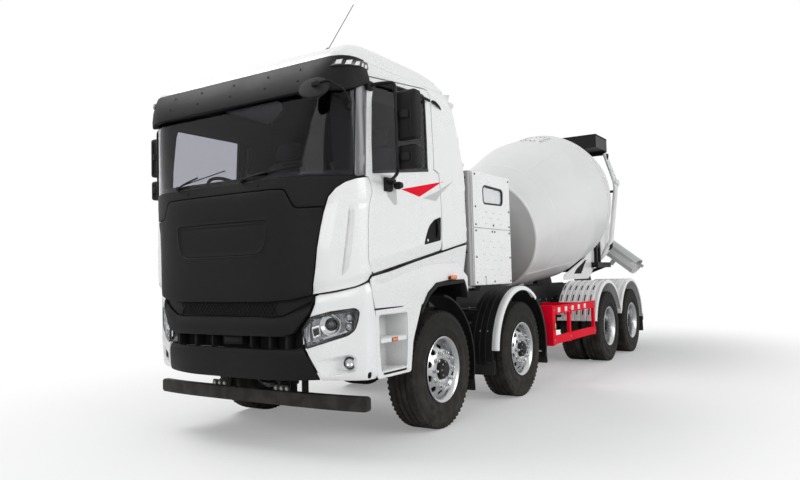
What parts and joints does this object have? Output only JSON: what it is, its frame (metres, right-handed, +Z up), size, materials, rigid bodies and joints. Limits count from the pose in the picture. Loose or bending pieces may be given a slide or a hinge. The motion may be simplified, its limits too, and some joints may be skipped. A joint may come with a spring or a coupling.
{
  "type": "concrete mixer truck",
  "caption": "Cab-over truck with two steered front axles and twin-tyred rear bogie, tilting cab, inclined rotating mixing drum, charging and discharge hoppers and a folding swivel chute.",
  "frame": {"origin": "bottom centre of the whole vehicle's box, on the ground under the tyres", "axes": "+X forward, +Y to the vehicle's left, +Z up"},
  "size_m": [9.9336, 3.24, 3.96],
  "materials": {
    "white_paint": "gloss",
    "mixer_paint": "satin",
    "drum_paint": "satin",
    "black_plastic": "fine grain",
    "black_paint": "satin",
    "engine_grey": "cast",
    "red_paint": "gloss",
    "aluminium": "polished",
    "rod_chrome": "polished",
    "tyre_rubber": "matt",
    "windscreen_glass": "tinted",
    "lamp_glass": "clear",
    "cab_trim": "grained",
    "seat_fabric": "woven"
  },
  "bodies": {
    "chassis": {"chassis_frame": "black_paint", "bumper_centre": "black_plastic", "bumper_corner_left": "white_paint", "bumper_corner_right": "white_paint", "headlamp_left": "lamp_glass", "headlamp_right": "lamp_glass", "front_guard_bar": "black_paint", "step_left": "white_paint", "step_right": "white_paint", "front_axle_1": "black_paint", "front_axle_2": "black_paint", "rear_axle_3": "black_paint", "rear_axle_4": "black_paint", "engine": "engine_grey", "mixer_frame": "mixer_paint", "charging_hopper": "black_paint", "discharge_hopper": "mixer_paint", "mid_fender_left": "white_paint", "mid_fender_right": "white_paint", "rear_fender_left": "white_paint", "rear_fender_right": "white_paint", "side_guard_left": "red_paint", "side_guard_right": "red_paint", "cabinet": "white_paint", "fuel_tank": "aluminium"},
    "cab": {"cab_shell": "white_paint", "roof_visor": "black_plastic", "windscreen": "windscreen_glass", "front_mirror": "black_plastic", "dashboard": "cab_trim", "seats": "seat_fabric"},
    "front_flap": {"front_panel": "black_plastic"},
    "left_door": {"door_left": "white_paint", "mirror_left": "black_plastic"},
    "right_door": {"door_right": "white_paint", "mirror_right": "black_plastic"},
    "driver_wheel": {"steering_wheel": "cab_trim"},
    "drum_shell": {"drum": "drum_paint"},
    "chute_swivel_post": {"chute_arm": "mixer_paint"},
    "chute_trough": {"main_chute": "mixer_paint"},
    "chute_tip": {"chute_extension": "mixer_paint"},
    "ram_barrel": {"jack_barrel": "black_paint"},
    "ram_rod": {"jack_rod": "rod_chrome"},
    "hub_1_left": {"knuckle_1_left": "black_paint"},
    "wheel_1_left": {"front_rim_1_left": "aluminium", "front_tyre_1_left": "tyre_rubber"},
    "hub_1_right": {"knuckle_1_right": "black_paint"},
    "wheel_1_right": {"front_rim_1_right": "aluminium", "front_tyre_1_right": "tyre_rubber"},
    "hub_2_left": {"knuckle_2_left": "black_paint"},
    "wheel_2_left": {"front_rim_2_left": "aluminium", "front_tyre_2_left": "tyre_rubber"},
    "hub_2_right": {"knuckle_2_right": "black_paint"},
    "wheel_2_right": {"front_rim_2_right": "aluminium", "front_tyre_2_right": "tyre_rubber"},
    "wheel_3_left": {"rear_wheel_3_left": "tyre_rubber"},
    "wheel_3_right": {"rear_wheel_3_right": "tyre_rubber"},
    "wheel_4_left": {"rear_wheel_4_left": "tyre_rubber"},
    "wheel_4_right": {"rear_wheel_4_right": "tyre_rubber"}
  },
  "joints": [
    {"name": "steer_1_left", "type": "hinge", "parent": "chassis", "child": "hub_1_left", "pos_m": [3.2382, 0.93, 0.5425], "axis": [0, 0, 1], "range_deg": [-35, 35]},
    {"name": "roll_1_left", "type": "hinge", "parent": "hub_1_left", "child": "wheel_1_left", "pos_m": [3.2382, 1.074, 0.5425], "axis": [0, 1, 0], "continuous": true},
    {"name": "steer_1_right", "type": "hinge", "parent": "chassis", "child": "hub_1_right", "pos_m": [3.2382, -0.93, 0.5425], "axis": [0, 0, 1], "range_deg": [-35, 35]},
    {"name": "roll_1_right", "type": "hinge", "parent": "hub_1_right", "child": "wheel_1_right", "pos_m": [3.2382, -1.074, 0.5425], "axis": [0, 1, 0], "continuous": true},
    {"name": "steer_2_left", "type": "hinge", "parent": "chassis", "child": "hub_2_left", "pos_m": [1.3882, 0.93, 0.5425], "axis": [0, 0, 1], "range_deg": [-24.5, 24.5]},
    {"name": "roll_2_left", "type": "hinge", "parent": "hub_2_left", "child": "wheel_2_left", "pos_m": [1.3882, 1.074, 0.5425], "axis": [0, 1, 0], "continuous": true},
    {"name": "steer_2_right", "type": "hinge", "parent": "chassis", "child": "hub_2_right", "pos_m": [1.3882, -0.93, 0.5425], "axis": [0, 0, 1], "range_deg": [-24.5, 24.5]},
    {"name": "roll_2_right", "type": "hinge", "parent": "hub_2_right", "child": "wheel_2_right", "pos_m": [1.3882, -1.074, 0.5425], "axis": [0, 1, 0], "continuous": true},
    {"name": "roll_3_left", "type": "hinge", "parent": "chassis", "child": "wheel_3_left", "pos_m": [-2.0618, 0.918, 0.5425], "axis": [0, 1, 0], "continuous": true},
    {"name": "roll_3_right", "type": "hinge", "parent": "chassis", "child": "wheel_3_right", "pos_m": [-2.0618, -0.918, 0.5425], "axis": [0, 1, 0], "continuous": true},
    {"name": "roll_4_left", "type": "hinge", "parent": "chassis", "child": "wheel_4_left", "pos_m": [-3.4118, 0.918, 0.5425], "axis": [0, 1, 0], "continuous": true},
    {"name": "roll_4_right", "type": "hinge", "parent": "chassis", "child": "wheel_4_right", "pos_m": [-3.4118, -0.918, 0.5425], "axis": [0, 1, 0], "continuous": true},
    {"name": "cab_tilt", "type": "hinge", "parent": "chassis", "child": "cab", "pos_m": [4.3882, 0, 0.95], "axis": [0, 1, 0], "range_deg": [0, 50]},
    {"name": "flap_lift", "type": "hinge", "parent": "cab", "child": "front_flap", "pos_m": [4.8382, 0, 2.125], "axis": [0, -1, 0], "range_deg": [0, 75]},
    {"name": "left_door_swing", "type": "hinge", "parent": "cab", "child": "left_door", "pos_m": [4.4202, 1.237, 2.2], "axis": [0, 0, -1], "range_deg": [0, 70]},
    {"name": "right_door_swing", "type": "hinge", "parent": "cab", "child": "right_door", "pos_m": [4.4202, -1.237, 2.2], "axis": [0, 0, 1], "range_deg": [0, 70]},
    {"name": "steering_wheel_turn", "type": "hinge", "parent": "cab", "child": "driver_wheel", "pos_m": [4.1832, -0.56, 2.25], "axis": [-0.5736, 0, 0.8191], "range_deg": [-630, 630]},
    {"name": "drum_spin", "type": "hinge", "parent": "chassis", "child": "drum_shell", "pos_m": [-0.1418, 0, 1.973], "axis": [-0.9668, 0, 0.2555], "continuous": true},
    {"name": "chute_swing", "type": "hinge", "parent": "chassis", "child": "chute_swivel_post", "pos_m": [-4.6918, 0, 1.5], "axis": [0, 0, 1], "range_deg": [0, 180]},
    {"name": "chute_raise", "type": "hinge", "parent": "chute_swivel_post", "child": "chute_trough", "pos_m": [-4.6918, 0, 2.22], "axis": [1, 0, 0], "range_deg": [-5, 15]},
    {"name": "chute_unfold", "type": "hinge", "parent": "chute_trough", "child": "chute_tip", "pos_m": [-4.6918, 1.08069, 1.48354], "axis": [-1, 0, 0], "range_deg": [0, 180]},
    {"name": "ram_swing", "type": "hinge", "parent": "chute_swivel_post", "child": "ram_barrel", "pos_m": [-4.6918, 0.112, 1.388], "axis": [1, 0, 0], "range_deg": [-3.44, 9.33]},
    {"name": "ram_slide", "type": "slide", "parent": "ram_barrel", "child": "ram_rod", "axis": [0, 0.9388, 0.3445], "range_m": [-0.07247, 0.2134]}
  ],
  "couplings": [
    {"joint": "steer_1_right", "follows": "steer_1_left", "ratio": 1},
    {"joint": "steer_2_left", "follows": "steer_1_left", "ratio": 0.7},
    {"joint": "steer_2_right", "follows": "steer_1_left", "ratio": 0.7},
    {"joint": "steering_wheel_turn", "follows": "steer_1_left", "ratio": 18},
    {"joint": "ram_swing", "follows": "chute_raise", "ratio": 0.5887},
    {"joint": "ram_slide", "follows": "chute_raise", "m_per_rad": 0.80747}
  ]
}
